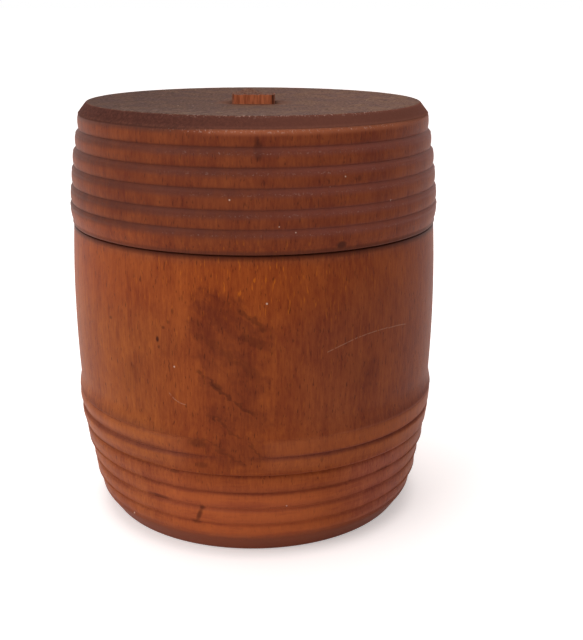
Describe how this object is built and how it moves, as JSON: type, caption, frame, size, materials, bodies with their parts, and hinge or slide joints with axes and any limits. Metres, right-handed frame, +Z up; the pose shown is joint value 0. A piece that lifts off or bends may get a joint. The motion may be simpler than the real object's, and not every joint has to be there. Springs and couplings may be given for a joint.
{
  "type": "turned wooden barrel box",
  "caption": "Small barrel-shaped box turned from wood, with ringed bands top and foot, a plain bulging wall, a lift-off lid and the stump of a lost knob.",
  "frame": {"origin": "centre of the foot, on the plane that the box stands on", "axes": "+Z up along the turning axis, -Y towards the picture's camera, +X to its right"},
  "size_m": [0.0734, 0.0734, 0.0844],
  "materials": {
    "body_wood": "satin varnish, worn",
    "lid_wood": "satin varnish, dusty and worn",
    "peg_wood": "raw broken wood"
  },
  "bodies": {
    "body": {"body": "body_wood"},
    "lid": {"lid": "lid_wood", "knob_stub": "peg_wood"}
  },
  "joints": [
    {"name": "lid_lift", "type": "slide", "parent": "body", "child": "lid", "axis": [0, 0, 1], "range_m": [0, 0.04]}
  ]
}
